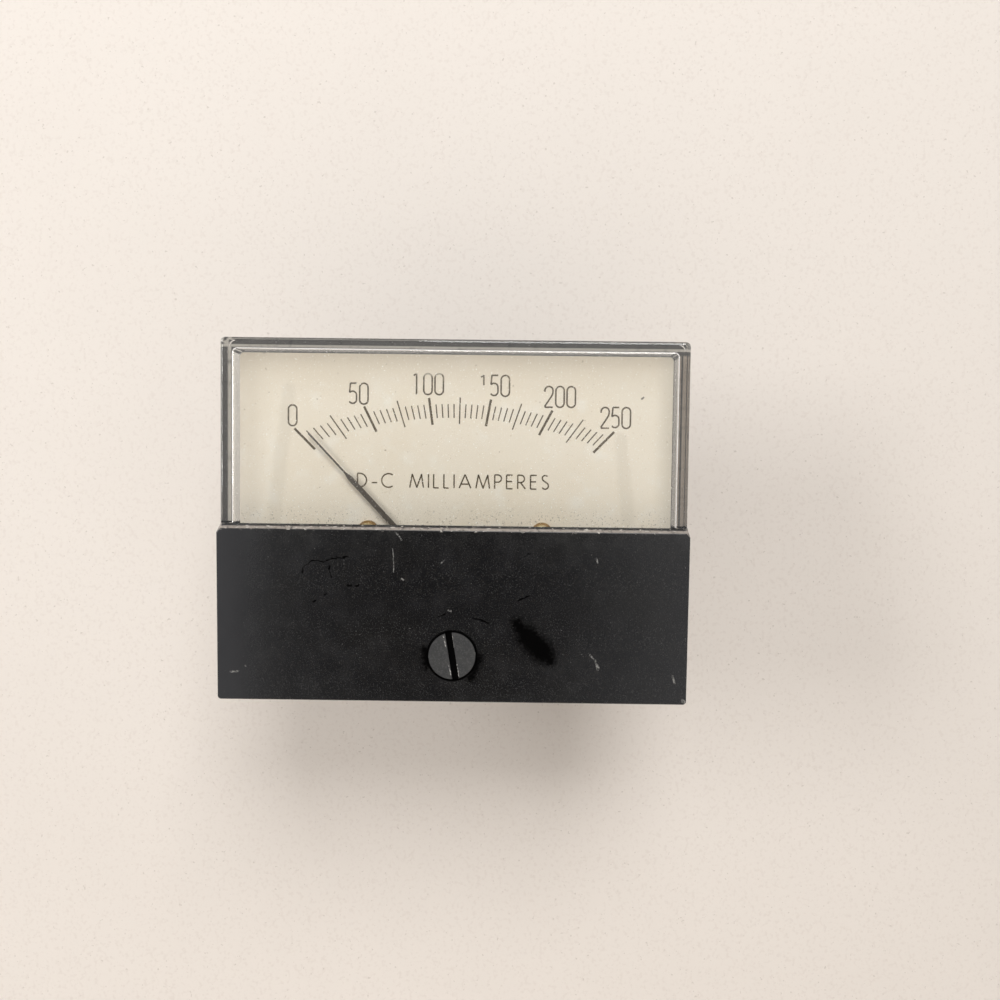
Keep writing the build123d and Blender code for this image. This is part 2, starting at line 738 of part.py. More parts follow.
# Pointer: a stamped blade that narrows to a needle, with two side arms and a tail
with BuildPart() as pointer:
    with BuildSketch(turned(pointer_back, rest_lean)):
        with BuildLine() as half_blade:
            Polyline(
                (0, 0),
                (0, blade_half_width),
                (pointer_shoulder - pointer_taper, blade_half_width),
                (pointer_shoulder, needle_half_width),
                (pointer_length - needle_half_width, needle_half_width),
                (pointer_length, 0),
                close=True,
            )
        make_face()
        mirror(about=Plane.XZ)
        Circle(hub_radius)
        Rectangle(arm_width, side_arm_reach * 2)
        Rectangle(tail_arm_reach, arm_width, align=(Align.MAX, Align.CENTER))
        Circle(staff_radius + press_gap, mode=Mode.SUBTRACT)
    extrude(amount=pointer_thickness)
pointer.part.label = "pointer"
export_step(pointer.part, "parts/pointer.step")

# Balance weights: small brass sleeves on the arms that bring the balance to the pivot
arm_middle = pointer_back + pointer_thickness / 2
weights = (
    ("left", rest_lean + 90, side_arm_reach, side_weight_length),
    ("right", rest_lean - 90, side_arm_reach, side_weight_length),
    ("tail", rest_lean + 180, tail_arm_reach, tail_weight_length),
)
for name, lean, reach, length in weights:
    arm = turned(arm_middle, lean)
    across = Plane(
        origin=arm.origin + arm.x_dir * (reach - weight_end_gap),
        x_dir=arm.y_dir,
        z_dir=-arm.x_dir,
    )
    with BuildPart() as balance_weight:
        with BuildSketch(across):
            Circle(weight_radius)
            hole_width = arm_width + 2 * press_gap
            hole_height = pointer_thickness + 2 * press_gap
            Rectangle(hole_width, hole_height, mode=Mode.SUBTRACT)
        extrude(amount=length)
    balance_weight.part.label = f"balance_weight_{name}"
    export_step(balance_weight.part, f"parts/balance_weight_{name}.step")

# Zero lever: turns on the front bridge's boss, with a fork round the zero screw's pin
# and a bent tab that holds the front hairspring's outer end
with BuildPart() as zero_lever:
    with BuildSketch(turned(lever_back, 0)):
        Circle(lever_hub_radius)
        Rectangle(lever_reach, lever_arm_width, align=(Align.MAX, Align.CENTER))
        with Locations((-lever_reach, 0)):
            Rectangle(lever_fork_length, lever_fork_width, align=(Align.MIN, Align.CENTER))
            slot_width = 2 * (zero_pin_radius + zero_fork_clearance)
            slot_length = lever_fork_length - slot_width / 2
            Rectangle(slot_length, slot_width, align=(Align.MIN, Align.CENTER), mode=Mode.SUBTRACT)
        tab_reach = spring_outer_radius + anchor_radius
        tab_width = 4 * anchor_radius
        with Locations((0, anchor_radius + press_gap)):
            Rectangle(tab_reach, tab_width, align=(Align.MIN, Align.CENTER))
        Circle(bridge_boss_radius + lever_bore_clearance, mode=Mode.SUBTRACT)
    extrude(amount=lever_thickness)
    with BuildSketch(turned(front_spring_back, 0)):
        with Locations((spring_outer_radius, anchor_radius + press_gap)):
            Circle(anchor_radius)
    extrude(amount=lever_back - front_spring_back)
zero_lever.part.label = "zero_lever"
export_step(zero_lever.part, "parts/zero_lever.step")

# Stop pins stand in the yoke's front face and catch the blade at both ends of its sweep
stop_lead = asin((blade_half_width + stop_pin_radius + stop_clearance) / stop_radius)
for side, sign in (("left", 1), ("right", -1)):
    with BuildPart() as stop_pin:
        with BuildSketch(turned(core_front, sign * (travel + degrees(stop_lead)))):
            with Locations((stop_radius, 0)):
                Circle(stop_pin_radius)
        extrude(amount=pointer_front + stop_overlap - core_front)
    stop_pin.part.label = f"stop_pin_{side}"
    export_step(stop_pin.part, f"parts/stop_pin_{side}.step")

# Terminals: a brass stud with its hexagon head inside, a washer and two nuts outside
terminal_length = barrel_floor + terminal_reach
for side, x in (("left", -terminal_spacing / 2), ("right", terminal_spacing / 2)):
    with BuildPart(seat(x, 0, floor_front)) as terminal_stud:
        with BuildSketch(seat(x, 0, floor_front)):
            RegularPolygon(terminal_head_across / 2, 6, major_radius=False)
        extrude(amount=terminal_head_thickness)
        Cylinder(terminal_radius, terminal_length, align=hang_align)
        chamfer(terminal_stud.faces().sort_by(Axis.Y)[-1].edges(), thread_end_chamfer)
    terminal_stud.part.label = f"terminal_stud_{side}"
    export_step(terminal_stud.part, f"parts/terminal_stud_{side}.step")

    boss_top = -(barrel_depth + terminal_boss_height)
    stack = boss_top
    for name in ("inner", "outer"):
        with BuildPart() as washer:
            with BuildSketch(facing(stack)):
                with Locations((x, 0)):
                    Circle(washer_radius)
                    Circle(terminal_radius + press_gap, mode=Mode.SUBTRACT)
            extrude(amount=-washer_thickness)
        washer.part.label = f"terminal_washer_{name}_{side}"
        export_step(washer.part, f"parts/terminal_washer_{name}_{side}.step")
        nut = hex_nut(
            seat(x, 0, stack - washer_thickness, True), nut_across, nut_thickness,
            terminal_radius + press_gap,
        )
        nut.part.label = f"terminal_nut_{name}_{side}"
        export_step(nut.part, f"parts/terminal_nut_{name}_{side}.step")
        stack = stack - washer_thickness - nut_thickness

# Shunt: a resistance strip soldered between the heads of the two terminal studs
with BuildPart() as shunt_strip:
    with BuildSketch(facing(floor_front + terminal_head_thickness)):
        Rectangle(terminal_spacing, shunt_width)
        with GridLocations(terminal_spacing, 0, 2, 1):
            Circle(shunt_end_radius)
    extrude(amount=shunt_thickness)
shunt_strip.part.label = "shunt_strip"
export_step(shunt_strip.part, "parts/shunt_strip.step")

# Mounting studs: four steel studs pressed into the flange from its front. The neck
# that grips the flange is thicker than the thread
with BuildPart(facing(flange_thickness)) as mount_studs:
    with GridLocations(stud_spacing_x, stud_spacing_z, 2, 2):
        Cylinder(stud_head_radius, stud_head_depth, align=hang_align)
        Cylinder(stud_neck_radius, flange_thickness, align=hang_align)
        Cylinder(stud_radius, flange_thickness + stud_reach, align=hang_align)
    chamfer(mount_studs.faces().group_by(Axis.Y)[-1].edges(), thread_end_chamfer)
mount_studs.part.label = "mount_studs"
export_step(mount_studs.part, "parts/mount_studs.step")
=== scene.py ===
import math

import bmesh
import bpy
from mathutils import Matrix, Vector


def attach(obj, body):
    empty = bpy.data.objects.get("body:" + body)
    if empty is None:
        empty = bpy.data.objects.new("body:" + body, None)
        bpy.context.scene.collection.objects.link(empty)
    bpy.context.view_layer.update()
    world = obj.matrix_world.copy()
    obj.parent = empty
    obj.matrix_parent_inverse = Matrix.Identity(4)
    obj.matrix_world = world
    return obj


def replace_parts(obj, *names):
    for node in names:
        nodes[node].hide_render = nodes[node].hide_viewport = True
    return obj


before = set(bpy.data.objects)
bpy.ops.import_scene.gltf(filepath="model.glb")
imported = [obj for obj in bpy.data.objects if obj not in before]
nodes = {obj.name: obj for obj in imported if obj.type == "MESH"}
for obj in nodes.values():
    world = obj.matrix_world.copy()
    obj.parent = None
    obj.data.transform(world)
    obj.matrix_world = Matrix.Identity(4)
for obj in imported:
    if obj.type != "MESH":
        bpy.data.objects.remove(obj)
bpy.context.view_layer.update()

# Base housing: a black moulding with a flange that seats on the panel and a round barrel behind
# it. It is satin, finely speckled from the mould, and a little dusty from storage.
flange_front = -3.2


def add_node(tree, kind, inputs=(), pick=0, **settings):
    """Adds a shader node whose inputs are values or other nodes' outputs, and gives one output."""
    made = tree.nodes.new("ShaderNode" + kind)
    for name, value in settings.items():
        setattr(made, name, value)
    for key, value in inputs.items() if isinstance(inputs, dict) else enumerate(inputs):
        if isinstance(value, bpy.types.NodeSocket):
            tree.links.new(value, made.inputs[key])
        else:
            made.inputs[key].default_value = value
    return made.outputs[pick]


class Finish:
    """A surface finish, worked in millimetres on the piece itself."""

    def __init__(self, name, colour, roughness, metallic=0.0):
        self.material = bpy.data.materials.new(name)
        self.material.use_nodes = True
        self.tree = self.material.node_tree
        self.shader = self.tree.nodes["Principled BSDF"]
        self.shader.inputs["Base Color"].default_value = (*colour, 1)
        self.shader.inputs["Roughness"].default_value = roughness
        self.shader.inputs["Metallic"].default_value = metallic
        place = self.node("TexCoord", pick="Object")
        self.mm = self.node("Mapping", {"Vector": place, "Scale": (1000, 1000, 1000)})

    def node(self, kind, inputs=(), pick=0, **settings):
        return add_node(self.tree, kind, inputs, pick, **settings)

    def maths(self, operation, *values):
        return self.node("Math", values, operation=operation)

    def both(self, *masks):
        """The masks times each other, so 1 only where all of them are 1."""
        product = masks[0]
        for mask in masks[1:]:
            product = self.maths("MULTIPLY", product, mask)
        return product

    def along(self, axis):
        """The place along X, Y or Z."""
        return self.node("SeparateXYZ", [self.mm], axis)

    def from_axis(self, x, z):
        """The distance from a line that runs from front to back at x and z."""
        flat = self.node("VectorMath", [self.mm, (1, 0, 1)], operation="MULTIPLY")
        return self.node("VectorMath", [flat, (x, 0, z)], "Value", operation="DISTANCE")

    def grain(self, size, detail=2, stretch=(1, 1, 1), shift=0.0, turn=(0, 0, 0)):
        """Cloudy grain with lumps about size millimetres across."""
        scale = [1 / (size * s) for s in stretch]
        turned = self.node("Mapping", {"Vector": self.mm, "Rotation": turn})
        placed = self.node("Mapping", {"Vector": turned, "Location": (shift,) * 3, "Scale": scale})
        return self.node("TexNoise", {"Vector": placed, "Scale": 1, "Detail": detail})

    def between(self, value, low, high):
        """0 below low, 1 above high, smooth in between; turned round where low is the larger."""
        return self.node(
            "MapRange", {0: value, 1: low, 2: high}, interpolation_type="SMOOTHSTEP"
        )

    def specks(self, size, share, shift=0.0):
        """Small scattered specks, of which a larger share covers more of the surface."""
        return self.between(self.grain(size, 1, shift=shift), 0.78 - share, 0.84 - share)

    def tint(self, mask, colour):
        socket = self.shader.inputs["Base Color"]
        under = socket.links[0].from_socket if socket.is_linked else socket.default_value[:]
        over = self.node("Mix", {0: mask, 6: under, 7: (*colour, 1)}, 2, data_type="RGBA")
        self.tree.links.new(over, socket)

    def dull(self, mask, roughness):
        socket = self.shader.inputs["Roughness"]
        under = socket.links[0].from_socket if socket.is_linked else socket.default_value
        over = self.node("Mix", {0: mask, 2: under, 3: roughness}, data_type="FLOAT")
        self.tree.links.new(over, socket)

    def quench(self, mask):
        """Takes the gloss away where mask is 1."""
        left = self.node("MapRange", {0: mask, 3: 0.5, 4: 0.02})
        self.tree.links.new(left, self.shader.inputs["Specular IOR Level"])

    def relief(self, height, depth):
        """Raises the surface by depth millimetres where height is 1."""
        socket = self.shader.inputs["Normal"]
        inputs = {"Height": height, "Distance": depth / 1000, "Strength": 1.0}
        if socket.is_linked:
            inputs["Normal"] = socket.links[0].from_socket
        self.tree.links.new(self.node("Bump", inputs), socket)

    def wear(self, *names):
        """Gives these pieces this finish."""
        for name in names:
            held = nodes[name].data.materials
            held.clear()
            held.append(self.material)


black = Finish("Black moulding", (0.0090, 0.0090, 0.0100), 0.36)
black.tint(black.between(black.grain(14, 4), 0.42, 0.7), (0.017, 0.016, 0.0155))
black.tint(black.specks(0.35, 0.17), (0.045, 0.043, 0.041))
black.tint(black.specks(0.9, 0.06, 7.0), (0.12, 0.11, 0.10))
black.dull(black.between(black.grain(3.5, 3, shift=4.0), 0.45, 0.75), 0.56)
black.relief(black.grain(0.32, 2), 0.02)
black.relief(black.grain(6, 1, shift=9.0), 0.05)
# The flange's front under the window's rim is painted paler, as light seen through the clear
# walls: grey in patches all round, creamy at the left and the top, and pinkish at the right.
rim_light_band = black.both(
    black.between(black.along("Y"), flange_front + 0.1, flange_front + 0.01),
    black.between(black.grain(1.6, 2, shift=2.0), 0.05, 0.5),
)
black.tint(rim_light_band, (0.13, 0.125, 0.12))
outward, upward = black.along("X"), black.along("Z")
at_top = black.both(black.between(upward, 44.2, 44.35), black.between(upward, 44.95, 44.8))
pale = black.maths("MAXIMUM", black.between(outward, -52.85, -53.0), at_top)
black.tint(black.both(rim_light_band, pale), (0.55, 0.52, 0.48))
pinkish_rim_light = black.both(black.between(outward, 51.3, 51.6), black.between(outward, 52.6, 52.4))
pinkish_rim_light = black.maths("MAXIMUM", pinkish_rim_light, black.between(outward, 52.85, 53.0))
pinkish_rim_light = black.both(pinkish_rim_light, black.between(upward, 43.6, 43.0))
black.tint(black.both(rim_light_band, pinkish_rim_light), (0.44, 0.38, 0.33))
black.wear("base_housing")

# Panel studs: four plated steel screws moulded into the flange, with a rolled thread behind it
# that takes the panel's nuts. The heads and necks are held by the moulding.
stud_places = [(x, z) for x in (-40.65, 40.65) for z in (-17.15, 17.15)]
stud_crest = 2.08
stud_pitch = 0.794
stud_depth = 0.42


def lathe(points, x, z, steps=40):
    """A turned piece: points are radius and depth behind the panel face, in millimetres."""
    piece = bmesh.new()
    ends = [piece.verts.new((r, y, 0)) for r, y in points]
    edges = [piece.edges.new(pair) for pair in zip(ends, ends[1:])]
    bmesh.ops.spin(
        piece, geom=[*ends, *edges], cent=(0, 0, 0), axis=(0, 1, 0),
        angle=math.tau, steps=steps, use_merge=True,
    )
    bmesh.ops.remove_doubles(piece, verts=piece.verts, dist=1e-4)
    bmesh.ops.recalc_face_normals(piece, faces=piece.faces)
    bmesh.ops.translate(piece, verts=piece.verts, vec=(x, 0, z))
    return piece


def threaded(crest, depth, pitch, start, end, x, z, steps=28):
    """A length of screw thread: one tooth is led round the axis while it moves along it."""
    piece = bmesh.new()
    tooth = ((crest - depth, 0.0), (crest, 0.4), (crest, 0.6), (crest - depth, 1.0))
    ends = [piece.verts.new((r, start - 2 * pitch + share * pitch, 0)) for r, share in tooth]
    edges = [piece.edges.new(pair) for pair in zip(ends, ends[1:])]
    turns = math.ceil((end - start) / pitch) + 4
    bmesh.ops.spin(
        piece, geom=[*ends, *edges], cent=(0, 0, 0), axis=(0, 1, 0), dvec=(0, pitch / steps, 0),
        angle=math.tau * turns, steps=steps * turns,
    )
    bmesh.ops.remove_doubles(piece, verts=piece.verts, dist=1e-3)
    for y, side in ((start, -1), (end, 1)):
        cut = bmesh.ops.bisect_plane(
            piece, geom=[*piece.verts, *piece.edges, *piece.faces], plane_co=(0, y, 0),
            plane_no=(0, side, 0), clear_outer=True,
        )
        rim = [e for e in cut["geom_cut"] if isinstance(e, bmesh.types.BMEdge)]
        bmesh.ops.holes_fill(piece, edges=rim)
    bmesh.ops.recalc_face_normals(piece, faces=piece.faces)
    lead = crest - depth
    for v in piece.verts:
        left = end - v.co.y
        radius = math.hypot(v.co.x, v.co.z)
        if left < depth and radius > lead + left:
            v.co.x *= (lead + left) / radius
            v.co.z *= (lead + left) / radius
    bmesh.ops.translate(piece, verts=piece.verts, vec=(x, 0, z))
    return piece


def finished(name, parts, body, finish):
    """Joins the worked parts into one piece, in metres, and gives it its body and finish."""
    mesh = bpy.data.meshes.new(name)
    whole = bmesh.new()
    for part in parts:
        part.to_mesh(mesh)
        part.free()
        whole.from_mesh(mesh)
    bmesh.ops.scale(whole, verts=whole.verts, vec=(0.001, 0.001, 0.001))
    whole.to_mesh(mesh)
    whole.free()
    piece = bpy.data.objects.new(name, mesh)
    bpy.context.scene.collection.objects.link(piece)
    mesh.materials.append(finish.material)
    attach(piece, body)
    return piece


plated = Finish("Plated steel", (0.50, 0.50, 0.51), 0.32, 1.0)
plated.tint(plated.between(plated.grain(2.2, 4), 0.45, 0.72), (0.36, 0.35, 0.34))
plated.tint(plated.specks(0.5, 0.12), (0.17, 0.14, 0.11))
plated.dull(plated.between(plated.grain(1.1, 3, shift=3.0), 0.4, 0.7), 0.5)
plated.relief(plated.grain(0.5, 2, stretch=(1, 6, 1)), 0.006)
plated.wear("movement_frame", "yoke_ring")
plated.wear("frame_screw_left", "frame_screw_right", "frame_screw_top")

stud_head = (
    (0, -3.15), (3.5, -3.15), (3.5, -1.5), (2.35, -1.45), (2.35, -0.02), (2.0, 0.0), (0, 0.0),
)
stud_length = 14.0
studs = []
for x, z in stud_places:
    studs.append(lathe(stud_head, x, z))
    studs.append(threaded(stud_crest, stud_depth, stud_pitch, 0.0, stud_length, x, z))
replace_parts(finished("panel_stud_threads", studs, "case", plated), "mount_studs")

# Terminals: two turned brass studs through the barrel's floor, their hexagon heads inside and
# their threads outside, each with washers and nuts that clamp a ring lug.
terminal_crest = 3.17
terminal_pitch = 0.907
terminal_depth = 0.5
terminal_hexagon = ((0, 24.02), (6.36, 24.02), (6.36, 27.0), (0, 27.0))
terminal_neck = ((0, 26.8), (3.1, 26.8), (3.1, 31.0), (0, 31.0))
terminal_start = 30.5
terminal_end = 45.98

brass = Finish("Dulled brass", (0.56, 0.42, 0.21), 0.34, 1.0)
brass.tint(brass.between(brass.grain(1.8, 4), 0.42, 0.72), (0.36, 0.245, 0.115))
brass.tint(brass.specks(0.45, 0.13), (0.12, 0.075, 0.035))
brass.dull(brass.between(brass.grain(0.9, 3, shift=5.0), 0.38, 0.7), 0.52)
brass.relief(brass.grain(0.25, 2), 0.006)
for side, x in (("left", -14.3), ("right", 14.3)):
    parts = [
        lathe(terminal_hexagon, x, 0, 6),
        lathe(terminal_neck, x, 0),
        threaded(
            terminal_crest, terminal_depth, terminal_pitch, terminal_start, terminal_end, x, 0,
        ),
    ]
    stud = finished(f"terminal_thread_{side}", parts, "case", brass)
    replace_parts(stud, f"terminal_stud_{side}")
    for place in ("inner", "outer"):
        brass.wear(f"terminal_washer_{place}_{side}", f"terminal_nut_{place}_{side}")

# Movement: a stack on a steel frame, with die-cast webs that hold the ground core magnet in the
# ring, and brass bridges before and behind it. It is clean, because the case keeps it shut.
brass.wear(
    "front_bridge", "rear_bridge", "front_lock_nut", "rear_lock_nut", "front_jewel_screw",
    "rear_jewel_screw", "zero_lever", "stop_pin_left", "stop_pin_right",
    "balance_weight_left", "balance_weight_right", "balance_weight_tail",
)
for side in ("left", "right"):
    brass.wear(f"front_bridge_post_{side}", f"rear_bridge_post_{side}", f"dial_post_{side}")
    brass.wear(f"front_bridge_screw_{side}", f"rear_bridge_screw_{side}")

zinc = Finish("Cast zinc", (0.42, 0.42, 0.43), 0.48, 1.0)
zinc.tint(zinc.between(zinc.grain(2.5, 4), 0.4, 0.7), (0.30, 0.30, 0.31))
zinc.relief(zinc.grain(0.7, 3), 0.03)
zinc.wear("core_web_upper", "core_web_lower")

magnet = Finish("Ground magnet alloy", (0.19, 0.19, 0.20), 0.38, 1.0)
magnet.tint(magnet.specks(0.6, 0.14), (0.07, 0.065, 0.06))
magnet.dull(magnet.between(magnet.grain(1.4, 3), 0.4, 0.7), 0.55)
magnet.relief(magnet.grain(0.12, 1, stretch=(1, 20, 1)), 0.006)
magnet.wear("core_magnet")

steel = Finish("Polished steel", (0.50, 0.50, 0.52), 0.18, 1.0)
steel.dull(steel.between(steel.grain(0.5, 3), 0.4, 0.75), 0.32)
steel.relief(steel.grain(0.1, 1, stretch=(8, 1, 8)), 0.002)
steel.wear("front_staff", "rear_staff")

ruby = Finish("Ruby jewel", (0.52, 0.02, 0.05), 0.05)
ruby.shader.inputs["IOR"].default_value = 1.77
ruby.tint(ruby.between(ruby.grain(0.5, 2), 0.4, 0.75), (0.70, 0.06, 0.11))
ruby.dull(ruby.between(ruby.grain(0.2, 2), 0.5, 0.8), 0.16)
ruby.wear("front_jewel", "rear_jewel")

# Moving coil: enamelled copper wire wound in layers on a light aluminium frame. The turns lie
# side by side, 0.12 mm apart, along the coil's lean.
coil_lean = math.radians(43.3)
wire_pitch = 0.12

former = Finish("Bright aluminium", (0.62, 0.62, 0.63), 0.3, 1.0)
former.tint(former.between(former.grain(1.5, 3), 0.4, 0.7), (0.50, 0.50, 0.51))
former.relief(former.grain(0.15, 1, stretch=(1, 14, 1)), 0.004)
former.wear("coil_former")

copper = Finish("Enamelled copper wire", (0.45, 0.15, 0.06), 0.3, 0.9)
across = copper.node("Mapping", {"Vector": copper.mm, "Rotation": (0, coil_lean, 0)})
turns = copper.node(
    "TexWave", {"Vector": across, "Scale": math.pi / (10 * wire_pitch), "Distortion": 0.4,
                "Detail": 1.0, "Detail Scale": 0.5}, bands_direction="X",
)
# Painted shade: the grooves between the turns are darkened.
copper.tint(copper.between(turns, 0.35, 0.0), (0.10, 0.03, 0.012))
copper.tint(copper.between(copper.grain(1.3, 3), 0.45, 0.75), (0.55, 0.21, 0.08))
copper.relief(turns, 0.05)
copper.wear("coil_winding")

# Hairsprings and shunt: flat rolled strip, phosphor bronze for the springs and a resistance
# alloy for the shunt between the terminals. Both keep the fine lines of the rolling.
bronze = Finish("Bronze strip", (0.52, 0.30, 0.14), 0.26, 1.0)
bronze.tint(bronze.between(bronze.grain(1.2, 3), 0.4, 0.7), (0.40, 0.20, 0.09))
bronze.relief(bronze.grain(0.08, 1, stretch=(1, 12, 1)), 0.002)
bronze.wear("front_hairspring", "rear_hairspring")

alloy = Finish("Resistance strip", (0.42, 0.26, 0.17), 0.36, 1.0)
alloy.tint(alloy.between(alloy.grain(2.4, 4), 0.42, 0.72), (0.27, 0.16, 0.11))
alloy.dull(alloy.between(alloy.grain(0.8, 2), 0.4, 0.75), 0.5)
alloy.relief(alloy.grain(0.2, 1, stretch=(12, 1, 1)), 0.006)
alloy.wear("shunt_strip")

# Pointer: thin sheet pressed to a knife shape and painted matt black-brown, so that it doesn't
# glint over the dial. Handling has rubbed the paint a little along its edges.
paint = Finish("Pointer paint", (0.054, 0.043, 0.032), 0.55)
paint.tint(paint.between(paint.grain(0.8, 3), 0.45, 0.75), (0.075, 0.064, 0.052))
paint.tint(paint.specks(0.35, 0.04), (0.12, 0.105, 0.09))
paint.relief(paint.grain(0.3, 2), 0.003)
paint.wear("pointer")

# Dial plate: sheet metal under cream enamel, with a notch for the movement. The enamel is unevenly
# toned, with small specks and two faint bands where something once lay against it, and painted
# shade darkens it towards the top and the right edge.
cream = Finish("Cream enamel", (0.795, 0.725, 0.625), 0.5)
cream.tint(cream.between(cream.grain(16, 4), 0.38, 0.72), (0.77, 0.69, 0.575))
cream.tint(cream.between(cream.grain(4.5, 4, shift=5.0), 0.52, 0.8), (0.82, 0.77, 0.69))
height = cream.along("Z")
# Painted shadow of the case's top wall: darker towards the top edge.
cream.tint(cream.both(cream.between(height, 31, 41), 0.75), (0.665, 0.59, 0.485))
# Painted shade by the case's right wall: darker towards the right edge.
cream.tint(cream.between(cream.along("X"), 45.5, 50), (0.64, 0.58, 0.49))
dirt = cream.both(cream.between(height, 9, 4), cream.specks(0.4, 0.13, 3.0))
cream.tint(dirt, (0.36, 0.31, 0.25))
cream.tint(cream.specks(0.5, 0.07), (0.68, 0.59, 0.47))
cream.tint(cream.specks(0.8, 0.02, 11.0), (0.46, 0.39, 0.30))
cream.relief(cream.grain(1.2, 3), 0.012)
cream.wear("dial_plate")


def scars(finish, marks, ragged, size=1.5):
    """One mask for straight marks: each a start, an end, a width and a soft edge, in mm."""
    flat = finish.node("VectorMath", [finish.mm, (1, 0, 1)], operation="MULTIPLY")
    placed = finish.node("Mapping", {"Vector": finish.mm, "Scale": [1 / size] * 3})
    cloud = finish.node("TexNoise", {"Vector": placed, "Scale": 1, "Detail": 3}, "Color")
    off = finish.node("VectorMath", [cloud, (0.5, 0.5, 0.5)], operation="SUBTRACT")
    strength = (ragged * 2, 0, ragged * 2)
    off = finish.node("VectorMath", [off, strength], operation="MULTIPLY")
    flat = finish.node("VectorMath", [flat, off], operation="ADD")
    mask = None
    for start, end, width, edge in marks:
        a = Vector((start[0], 0, start[1]))
        run = Vector((end[0], 0, end[1])) - a
        away = finish.node("VectorMath", [flat, a], operation="SUBTRACT")
        step = run / run.length_squared
        along = finish.node("VectorMath", [away, step], "Value", operation="DOT_PRODUCT")
        along = finish.node("Clamp", [along, 0, 1])
        foot = finish.node("VectorMath", {0: run, "Scale": along}, operation="SCALE")
        gap = finish.node("VectorMath", [away, foot], "Value", operation="DISTANCE")
        mark = finish.between(gap, width / 2 + edge, width / 2)
        mask = finish.maths("MAXIMUM", mask, mark) if mask else mark
    return mask


bands = scars(cream, [
    ((-38.9, 34.2), (-42.4, 3.8), 1.5, 1.6), ((38.3, 23.5), (40.5, 4.8), 1.4, 1.6),
], 0.6, 6)
cream.tint(cream.both(bands, 0.3), (0.55, 0.49, 0.40))
cream.tint(scars(cream, [((43.1, 33.1), (43.5, 33.35), 0.25, 0.2)], 0.15), (0.12, 0.10, 0.08))
cream.tint(scars(cream, [((-44.8, 43.4), (-43.9, 43.9), 0.9, 0.6)], 0.5), (0.20, 0.17, 0.14))

# Printed scale: 50 divisions between two arcs, with longer lines at every 25 and heavier ones at
# every 50, in one coat of black ink. The ink is thin in places and rubbed off in a few.
dial_face = 7.8
print_height = 0.015
scale_centre = Vector((-0.4, -62.3))
line_focus = Vector((0.0, -12.4))
outer_radius = 95.2
inner_radius = 88.9


class Pen:
    """A flat pen of one width, led in straight runs and round bends over the dial."""

    def __init__(self, width):
        self.ink = bmesh.new()
        self.width = width

    def start(self, place, degrees):
        self.heading = math.radians(degrees)
        self.place = Vector((*place, 0))
        side = self.side() * self.width / 2
        tip = [self.ink.verts.new(self.place - side), self.ink.verts.new(self.place + side)]
        self.edge = self.ink.edges.new(tip)

    def side(self):
        return Vector((-math.sin(self.heading), math.cos(self.heading), 0))

    def run(self, length):
        new = bmesh.ops.extrude_edge_only(self.ink, edges=[self.edge])["geom"]
        tip = [v for v in new if isinstance(v, bmesh.types.BMVert)]
        way = Vector((math.cos(self.heading), math.sin(self.heading), 0)) * length
        bmesh.ops.translate(self.ink, verts=tip, vec=way)
        self.place += way
        self.edge = next(e for e in new if isinstance(e, bmesh.types.BMEdge))

    def bend(self, radius, degrees):
        angle = math.radians(degrees)
        centre = self.place + self.side() * math.copysign(radius, angle)
        last = bmesh.ops.spin(
            self.ink, geom=[*self.edge.verts, self.edge], cent=centre, axis=(0, 0, 1),
            angle=angle, steps=max(3, round(abs(degrees) / 12)),
        )["geom_last"]
        self.edge = next(e for e in last if isinstance(e, bmesh.types.BMEdge))
        self.place = centre + Matrix.Rotation(angle, 3, "Z") @ (self.place - centre)
        self.heading += angle

    def print(self, name):
        """Lays the drawn lines on the dial's face as one piece."""
        bmesh.ops.reverse_faces(self.ink, faces=[f for f in self.ink.faces if f.normal.z < 0])
        upright = Matrix.Rotation(math.pi / 2, 3, "X")
        bmesh.ops.rotate(self.ink, verts=self.ink.verts, matrix=upright)
        bmesh.ops.translate(self.ink, verts=self.ink.verts, vec=(0, -dial_face - print_height, 0))
        finished(name, [self.ink], "case", ink)


ink = Finish("Dial ink", (0.072, 0.050, 0.023), 0.6)
ink.shader.inputs["Specular IOR Level"].default_value = 0.2
ink.tint(ink.between(ink.grain(0.5, 3), 0.45, 0.75), (0.165, 0.128, 0.080))
ink.tint(ink.between(ink.grain(2.4, 2, shift=3.0), 0.55, 0.8), (0.26, 0.21, 0.145))
rubbed = scars(ink, [((-8.5, 38.3), (-4.0, 38.4), 0.5, 0.8)], 0.5)
ink.tint(ink.both(rubbed, 0.55), (0.62, 0.56, 0.47))
ink.relief(ink.grain(0.2, 2), 0.006)

for name, step, width, short in (
    ("majors", 10, 0.55, 0), ("mids", 5, 0.30, 0), ("minors", 1, 0.28, 1.55),
):
    pen = Pen(width)
    for mark in range(51):
        if mark % step or (step < 10 and mark % 10 == 0) or (step < 5 and mark % 5 == 0):
            continue
        # The lines aren't quite evenly spread: this curve gives each one's lean from upright.
        share = mark / 50
        lean = math.radians(45 - 91.6 * share - 5 * share ** 2 + 7.3 * share ** 3)
        way = Vector((-math.sin(lean), math.cos(lean)))
        gap = line_focus - scale_centre
        reach = [
            math.sqrt((way @ gap) ** 2 - gap.length_squared + radius ** 2) - way @ gap
            for radius in (inner_radius + short, outer_radius - short)
        ]
        pen.start(line_focus + way * reach[0], 90 + math.degrees(lean))
        pen.run(reach[1] - reach[0])
    pen.print(f"scale_{name}")

